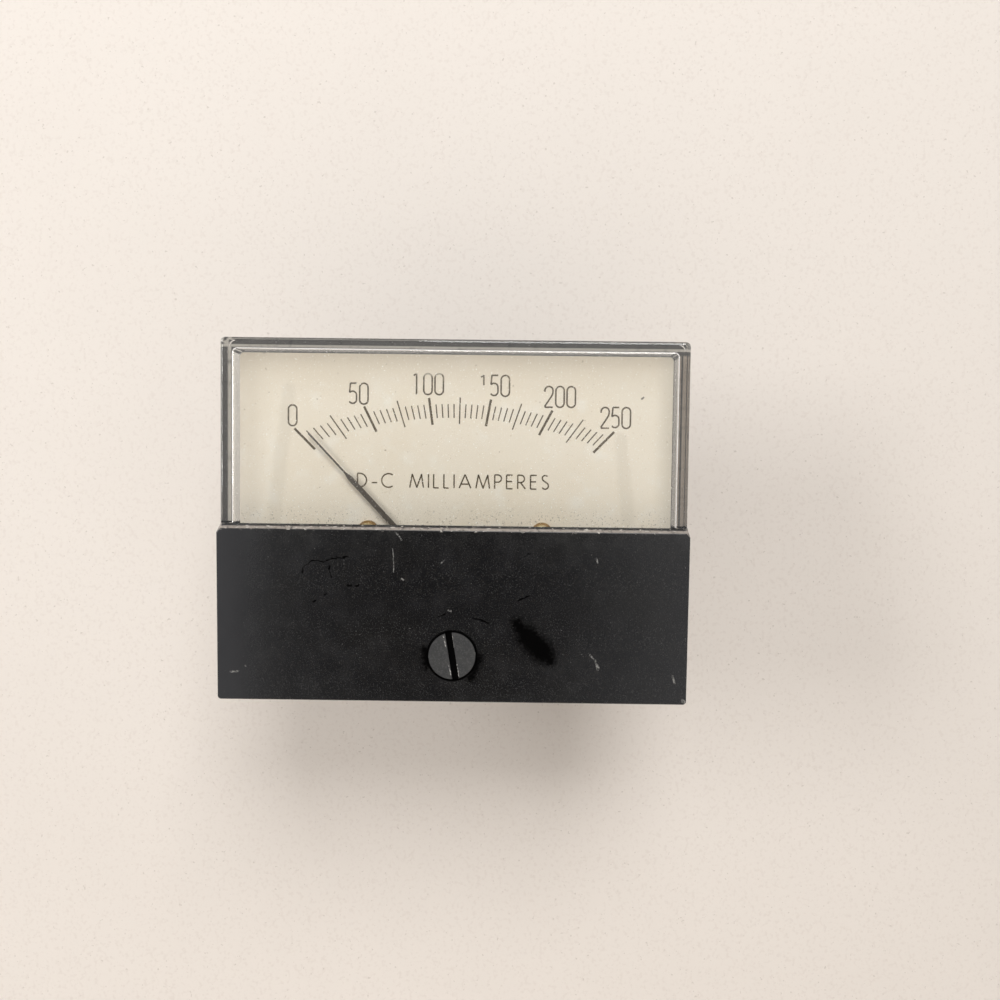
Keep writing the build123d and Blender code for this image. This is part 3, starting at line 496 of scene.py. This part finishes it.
# Lettering: the scale's numbers and the unit words, drawn in the same ink with a pen of one
# width. Each sign is a few runs and bends, in shares of its height, from its left foot.
signs = {
    "0": (0.404, [(0, 0.202, 90, 0.596, (0.202, -180), 0.596, (0.202, -180))]),
    "1": (0.35, [(0.14, 0, 90, 1.0), (0, 0.90, 35, 0.16)]),
    "i": (0.35, [(0.14, 0.52, 90, 0.48), (0, 0.90, 35, 0.16)]),
    "2": (0.40, [(0.01, 0.74, 90, 0.06, (0.195, -180), 0.02, (0.5, -33.5), 0.575),
                 (0, 0, 0, 0.40)]),
    "5": (0.35, [(0.04, 1, 0, 0.30), (0.04, 1, -95, 0.45),
                 (0.0, 0.55, 50, (0.19, -140), 0.21, (0.185, -150))]),
    "D": (0.66, [(0, 0, 90, 1.0), (0, 1, 0, 0.16, (0.5, -180), 0.16)]),
    "-": (0.40, [(0, 0.33, 0, 0.40)]),
    "C": (0.76, [(0.76, 0.90, 143, (0.5, 254))]),
    "M": (0.99, [(0, 0, 80, 1.015), (0.17, 1, -70.5, 1.06), (0.51, 0, 70.5, 1.06),
                 (0.85, 1, -82, 1.01)]),
    "I": (0.0, [(0, 0, 90, 1.0)]),
    "L": (0.37, [(0, 1, -90, 1.0), (0, 0, 0, 0.37)]),
    "A": (0.85, [(0, 0, 67, 1.085), (0.425, 1, -67, 1.085), (0.13, 0.3, 0, 0.59)]),
    "P": (0.49, [(0, 0, 90, 1.0), (0, 1, 0, 0.225, (0.265, -180), 0.225)]),
    "E": (0.44, [(0, 0, 90, 1.0), (0, 1, 0, 0.44), (0, 0.53, 0, 0.40), (0, 0, 0, 0.44)]),
    "R": (0.56, [(0, 0, 90, 1.0), (0, 1, 0, 0.225, (0.265, -180), 0.225),
                 (0.20, 0.47, -52.5, 0.592)]),
    "S": (0.49, [(0.41, 0.925, 130, (0.21, 195), 0.316, (0.24, -205))]),
}


def letter(pen, text, place, height, gap):
    """Draws text from the foot of its first sign and says where its last sign ends."""
    place = Vector(place)
    for sign in text:
        width, strokes = signs[sign]
        for x, y, heading, *moves in strokes:
            pen.start(place + Vector((x, y)) * height, heading)
            for move in moves:
                if isinstance(move, tuple):
                    pen.bend(move[0] * height, move[1])
                else:
                    pen.run(move * height)
        place.x += width * height + gap
    return place.x - gap


number_pen = 0.38
number_height = 4.83
number_gap = 0.66
word_pen = 0.33
word_height = 3.2
word_gap = 1.2
words_apart = 4.0
words_from = (-22.9, 11.8)
for value, written, x, z in (
    (0, "0", -38.1, 28.3), (50, "50", -22.7, 33.5), (100, "100", -6.5, 35.9),
    (150, "i50", 9.0, 35.7), (200, "200", 24.1, 33.3), (250, "250", 37.1, 28.6),
):
    pen = Pen(number_pen)
    width = sum(signs[sign][0] for sign in written) * number_height
    width += number_gap * (len(written) - 1)
    letter(pen, written, (x - width / 2, z - number_height / 2), number_height, number_gap)
    pen.print(f"number_{value}")

pen = Pen(word_pen)
word_end = letter(pen, "D-C", words_from, word_height, word_gap)
next_word = (word_end + words_apart, words_from[1])
letter(pen, "MILLIAMPERES", next_word, word_height, word_gap)
pen.print("unit_words")

# Dial screws: two brass screws that hold the dial on its posts. Their flats are pale brass, and a
# brown ring of painted dark reflection runs round their edges.
dial_screw_height = 1.5
for side, x in (("left", -20.3), ("right", 20.3)):
    brass_with_painted_rim = Finish(f"Brass with painted dark rim {side}", (0.62, 0.52, 0.32), 0.42, 0.85)
    brass_with_painted_rim.tint(brass_with_painted_rim.between(brass_with_painted_rim.grain(0.9, 4), 0.42, 0.75), (0.50, 0.38, 0.18))
    radius = brass_with_painted_rim.from_axis(x, dial_screw_height)
    # Painted dark reflection: a brown ring round the head's edge.
    brass_with_painted_rim.tint(brass_with_painted_rim.between(radius, 1.75, 2.1), (0.20, 0.125, 0.05))
    brass_with_painted_rim.tint(brass_with_painted_rim.specks(0.3, 0.12), (0.14, 0.09, 0.04))
    brass_with_painted_rim.dull(brass_with_painted_rim.grain(0.6, 3), 0.6)
    brass_with_painted_rim.relief(brass_with_painted_rim.grain(0.2, 2), 0.01)
    brass_with_painted_rim.wear(f"dial_screw_{side}")

# Window cover: one clear moulding like a shallow box, polished inside and out. Age has given it
# fine hairlines and a little dust on the face.
clear = Finish("Clear moulding", (0.975, 0.975, 0.955), 0.02)
clear.shader.inputs["Transmission Weight"].default_value = 1.0
clear.shader.inputs["IOR"].default_value = 1.49
clear.tint(clear.specks(0.5, 0.045), (0.76, 0.71, 0.64))
clear.dull(clear.between(clear.grain(7, 3), 0.5, 0.8), 0.05)
clear.dull(clear.specks(0.35, 0.1, 5.0), 0.3)
clear.relief(clear.grain(0.22, 1, stretch=(40, 40, 1), turn=(0, 0.6, 0)), 0.0012)
clear.relief(clear.grain(9, 1, shift=2.0), 0.006)
# Light from the lamps and the dial goes straight through the face and is weakened by the walls.
lamp_ray = clear.node("LightPath", pick="Is Shadow Ray")
bounce_ray = clear.node("LightPath", pick="Is Diffuse Ray")
facing = clear.node("SeparateXYZ", [clear.node("NewGeometry", pick="Normal")], "Y")
walls = clear.between(clear.maths("ABSOLUTE", facing), 0.75, 0.35)
weakened = {0: walls, 6: (0.96, 0.96, 0.945, 1), 7: (0.74, 0.73, 0.71, 1)}
open_way = clear.node("BsdfTransparent", [clear.node("Mix", weakened, 2, data_type="RGBA")])
straight = clear.maths("MAXIMUM", lamp_ray, bounce_ray)
clear_or_open = clear.node("MixShader", [straight, clear.shader.outputs[0], open_way])
clear.tree.links.new(clear_or_open, clear.tree.nodes["Material Output"].inputs["Surface"])
clear.wear("window_cover")

# Front mask: a black moulding over the lower half of the face, its upper edge bevelled under the
# window. Years of handling left scratches, a crack, a dark smear and a rubbed corner. Painted
# light adds a highlight on the bevel and sheen at the left edge and the foot, and painted shade
# lies round the zero screw.
screw_height = -26.1

mask = Finish("Worn black mask", (0.0050, 0.0050, 0.0055), 0.2)
mask.tint(mask.between(mask.grain(18, 4), 0.42, 0.7), (0.0068, 0.0065, 0.0062))
mask.tint(mask.between(mask.grain(0.4, 3, shift=1.0), 0.48, 0.68), (0.0135, 0.0125, 0.0115))
mask.tint(mask.specks(0.25, 0.17), (0.027, 0.0265, 0.026))
mask.tint(mask.specks(0.45, 0.035, 7.0), (0.085, 0.084, 0.081))
mask.dull(mask.between(mask.grain(4.5, 4, shift=4.0), 0.42, 0.75), 0.27)
height = mask.along("Z")
patchy = mask.between(mask.grain(3, 4, shift=3.0), 0.4, 0.75)
mask.tint(mask.both(mask.between(height, -5, 2), patchy), (0.018, 0.0175, 0.017))
# Painted sheen: lighter towards the left edge.
mask.tint(mask.between(mask.along("X"), -38, -53), (0.020, 0.020, 0.0215))
# Painted sheen: lighter specks towards the foot.
foot = mask.both(mask.between(height, -28, -33), mask.specks(0.4, 0.12, 5.0))
foot = mask.both(foot, mask.between(mask.grain(5, 3, shift=1.0), 0.42, 0.66))
mask.tint(foot, (0.036, 0.036, 0.037))
# Painted highlight: a light band on the upward-facing bevel.
lit_bevel = mask.both(mask.between(height, 2.28, 2.42), mask.between(height, 2.98, 2.8))
lit_bevel = mask.both(lit_bevel, mask.between(mask.grain(0.9, 4), 0.18, 0.52))
mask.tint(lit_bevel, (0.29, 0.255, 0.225))
lint = mask.both(mask.between(height, 1.85, 2.35), mask.between(height, 3.6, 3.1))
lint = mask.both(lint, mask.between(mask.grain(0.5, 3, (2.2, 1, 1), 8.0), 0.60, 0.68))
mask.tint(lint, (0.50, 0.46, 0.41))
mask.relief(mask.grain(0.32, 2), 0.010)
mask.relief(mask.grain(7, 1, shift=9.0), 0.04)
crack = scars(mask, [
    ((-33.9, -7.4), (-33.6, -6.2), 0.12, 0.2), ((-33.6, -6.2), (-31.4, -4.7), 0.16, 0.2),
    ((-31.4, -4.7), (-29.1, -5.0), 0.18, 0.2), ((-29.1, -5.0), (-26.8, -4.2), 0.2, 0.2),
    ((-26.8, -4.2), (-23.4, -3.9), 0.12, 0.2), ((-27.9, -6.0), (-27.4, -8.7), 0.14, 0.22),
    ((-31.3, -14.2), (-30.9, -13.9), 0.3, 0.3), ((-28.9, -12.6), (-28.4, -12.2), 0.25, 0.3),
    ((-23.6, -10.3), (-22.9, -10.4), 0.3, 0.3), ((-22.0, -10.4), (-21.2, -10.3), 0.25, 0.3),
    ((4.7, -17.4), (8.3, -18.4), 0.28, 0.3), ((14.9, -13.2), (17.1, -12.2), 0.24, 0.3),
    ((-3.7, -17.5), (-1.6, -16.6), 0.2, 0.25), ((15.8, -3.6), (17.4, -2.5), 0.1, 0.2),
], 0.7, 0.8)
mask.tint(crack, (0.0015, 0.0014, 0.0014))
mask.relief(crack, -0.02)
# A dark smear at the right, and painted shadow of the zero screw's head below its left and right
# sides.
smears_and_shade = scars(mask, [
    ((14.6, -18.6), (22.2, -26.8), 0.9, 2.0), ((17.0, -21.4), (20.6, -25.0), 2.6, 3.0),
    ((-6.2, -24.6), (-5.6, -28.6), 0.2, 1.6), ((6.1, -26.4), (4.4, -31.2), 0.2, 1.8),
], 1.5, 0.6)
# Painted shade in a ring round the zero screw's head.
screw_shade_ring = mask.between(mask.from_axis(0, screw_height), 6.0, 5.75)
smears_and_shade = mask.maths("MAXIMUM", smears_and_shade, screw_shade_ring)
mask.tint(smears_and_shade, (0.0018, 0.0017, 0.0017))
mask.quench(mask.maths("MAXIMUM", crack, smears_and_shade))
scratches = scars(mask, [
    ((-12.9, 1.9), (-11.7, 0.1), 0.12, 0.16), ((-13.5, -1.7), (-13.3, -7.2), 0.06, 0.14),
    ((-2.7, -5.0), (-1.8, -4.3), 0.10, 0.15), ((-11.5, -8.7), (-11.2, -9.0), 0.12, 0.22),
    ((32.3, -3.5), (32.6, -4.4), 0.2, 0.2), ((31.3, -25.5), (32.4, -26.6), 0.12, 0.2),
    ((32.4, -26.6), (33.1, -28.4), 0.16, 0.22), ((-0.9, -15.7), (-0.4, -15.8), 0.12, 0.28),
    ((-50.3, -30.4), (-48.5, -30.2), 0.18, 0.22), ((50.1, -30.0), (50.6, -31.8), 0.15, 0.22),
    ((-46.9, -29.0), (-46.8, -29.0), 0.2, 0.2), ((52.5, -35.7), (52.9, -36.2), 0.5, 0.3),
    ((33.0, -28.0), (33.2, -28.7), 0.3, 0.25),
], 0.35)
broken = mask.between(mask.grain(0.4, 2, shift=6.0), 0.42, 0.62)
mask.tint(mask.both(scratches, broken), (0.24, 0.235, 0.22))
mask.dull(scratches, 0.5)
mask.wear("front_mask")

# Zero screw: the slotted adjuster in the mask's middle, a dull grey-black moulding. The pale
# glints along the slot and the rim are painted highlights, and its slot floor and rim are painted
# dark as shade.
adjuster = Finish("Dull adjuster", (0.022, 0.0225, 0.0225), 0.5)
adjuster.tint(adjuster.between(adjuster.grain(2.6, 4), 0.4, 0.72), (0.030, 0.030, 0.029))
adjuster.tint(adjuster.between(adjuster.grain(0.35, 3), 0.46, 0.66), (0.044, 0.044, 0.043))
adjuster.relief(adjuster.grain(0.25, 2), 0.012)
# Painted highlights: glints along the slot's edges and on the rim.
painted_glints = scars(adjuster, [
    ((-5.6, -25.3), (-5.5, -26.6), 0.2, 0.25), ((5.4, -25.0), (5.6, -26.2), 0.2, 0.25),
    ((-1.9, -21.6), (-1.35, -24.4), 0.06, 0.14), ((-0.05, -21.4), (0.45, -24.4), 0.04, 0.12),
    ((-0.65, -28.2), (-0.25, -30.4), 0.06, 0.14), ((1.15, -28.0), (1.6, -30.6), 0.05, 0.14),
], 0.2)
painted_glints = adjuster.both(painted_glints, adjuster.between(adjuster.grain(0.5, 2, shift=3.0), 0.38, 0.6))
adjuster.tint(painted_glints, (0.40, 0.39, 0.37))
# Painted shade on the slot's floor and round the head's rim.
slot_floor = adjuster.between(adjuster.along("Y"), -14.95, -14.75)
rim = adjuster.between(adjuster.from_axis(0, screw_height), 5.2, 5.4)
slot_and_rim_shade = adjuster.maths("MAXIMUM", slot_floor, rim)
adjuster.tint(slot_and_rim_shade, (0.0015, 0.0014, 0.0014))
adjuster.quench(slot_and_rim_shade)
adjuster.wear("zero_screw")

# Table and floor: the meter lies on a pale sheet, which here stands behind it as the meter would
# hang in a panel. The sheet's back lets light and sight through for the views from behind.
paper = Finish("Pale sheet", (0.81, 0.75, 0.69), 0.9)
paper.tint(paper.between(paper.grain(60, 3), 0.4, 0.75), (0.80, 0.74, 0.68))
paper.tint(paper.between(paper.grain(1.1, 3), 0.5, 0.72), (0.765, 0.70, 0.64))
paper.tint(paper.specks(0.9, 0.06), (0.66, 0.60, 0.54))
paper.relief(paper.grain(0.9, 3), 0.03)
floor_place = Matrix.Translation((0, -0.1, -0.32))
sheet_place = Matrix.Translation((0.01, 0.0465, -0.065)) @ Matrix.Rotation(math.pi / 2, 4, "X")
sheet_size = (0.42, 0.51, 1)
floor = bmesh.new()
bmesh.ops.create_grid(floor, x_segments=1, y_segments=1, size=0.45, matrix=floor_place)
sheet = bmesh.new()
bmesh.ops.create_grid(sheet, x_segments=1, y_segments=1, size=0.5)
bmesh.ops.scale(sheet, verts=sheet.verts, vec=sheet_size)
bmesh.ops.transform(sheet, verts=sheet.verts, matrix=sheet_place)
one_way = paper.material.copy()
one_way.name = "Pale sheet from the front"
tree = one_way.node_tree
back = add_node(tree, "NewGeometry", pick="Backfacing")
lamp_ray = add_node(tree, "LightPath", pick="Is Shadow Ray")
gone = add_node(tree, "Math", [back, lamp_ray], operation="MAXIMUM")
front = tree.nodes["Principled BSDF"].outputs[0]
shown = add_node(tree, "MixShader", [gone, front, add_node(tree, "BsdfTransparent")])
tree.links.new(shown, tree.nodes["Material Output"].inputs["Surface"])
for name, shape, material in (("floor", floor, paper.material), ("backdrop", sheet, one_way)):
    mesh = bpy.data.meshes.new(name)
    shape.to_mesh(mesh)
    shape.free()
    mesh.materials.append(material)
    stage = bpy.data.objects.new(name, mesh)
    bpy.context.scene.collection.objects.link(stage)

# Light: a soft window above the meter and a weaker one from the left, in an even pale room that
# is dark straight in front, as the black mask shows. A lamp behind lights the back for other
# views. Each lamp is a metre away.
dark_way = (-0.08, -1.0, -0.22)
dark_edge = math.cos(math.radians(20))
dark_core = math.cos(math.radians(6.5))
for name, way, size, power in (
    ("window", (0.2, -1.0, 0.95), (0.5, 0.5), 6.4),
    ("room", (-1.2, -0.85, 0.35), (0.24, 0.5), 3.9),
    ("behind", (0.5, 1.0, 0.7), (0.6, 0.6), 6.0),
):
    lamp = bpy.data.lights.new(name, "AREA")
    lamp.shape = "RECTANGLE"
    lamp.size, lamp.size_y = size
    lamp.energy = power
    placed = bpy.data.objects.new(name, lamp)
    towards = Vector(way).normalized()
    placed.location = towards
    placed.rotation_euler = towards.to_track_quat("Z", "Y").to_euler()
    bpy.context.scene.collection.objects.link(placed)

world = bpy.data.worlds.new("Room")
bpy.context.scene.world = world
world.use_nodes = True
air = world.node_tree
room = air.nodes["Background"]
room.inputs["Color"].default_value = (1.0, 0.975, 0.95, 1)
room.inputs["Strength"].default_value = 0.32
gaze = [add_node(air, "TexCoord", pick="Generated"), Vector(dark_way).normalized()]
nearness = add_node(air, "VectorMath", gaze, "Value", operation="DOT_PRODUCT")
patch = {0: nearness, 1: dark_edge, 2: dark_core}
patch = add_node(air, "MapRange", patch, interpolation_type="SMOOTHSTEP")
shade = {0: patch, 6: (0.95, 0.94, 0.96, 1), 7: (0.012, 0.012, 0.012, 1)}
seen = add_node(air, "Background", [add_node(air, "Mix", shade, 2, data_type="RGBA")])
sight = 0.0
for ray in ("Camera", "Glossy", "Transmission"):
    ray = add_node(air, "LightPath", pick=f"Is {ray} Ray")
    sight = add_node(air, "Math", [sight, ray], operation="MAXIMUM")
sky = add_node(air, "MixShader", [sight, room.outputs[0], seen])
air.links.new(sky, air.nodes["World Output"].inputs["Surface"])

# Camera: 184 mm in front of the face, a little right of the middle and turned slightly.
eye = bpy.data.cameras.new("camera")
eye.sensor_width = 36
eye.lens = 27.07
camera = bpy.data.objects.new("camera", eye)
right = Vector((0.99992, 0.00346, 0.01233)).normalized()
forward = Vector((-0.00302, 0.99935, -0.03589)).normalized()
up = right.cross(forward).normalized()
placed = Matrix((right, up, -forward)).transposed().to_4x4()
placed.translation = Vector((0.01097, -0.18411, 0.01546))
camera.matrix_world = placed
bpy.context.scene.collection.objects.link(camera)
bpy.context.scene.camera = camera
bpy.context.scene.view_settings.view_transform = "Standard"
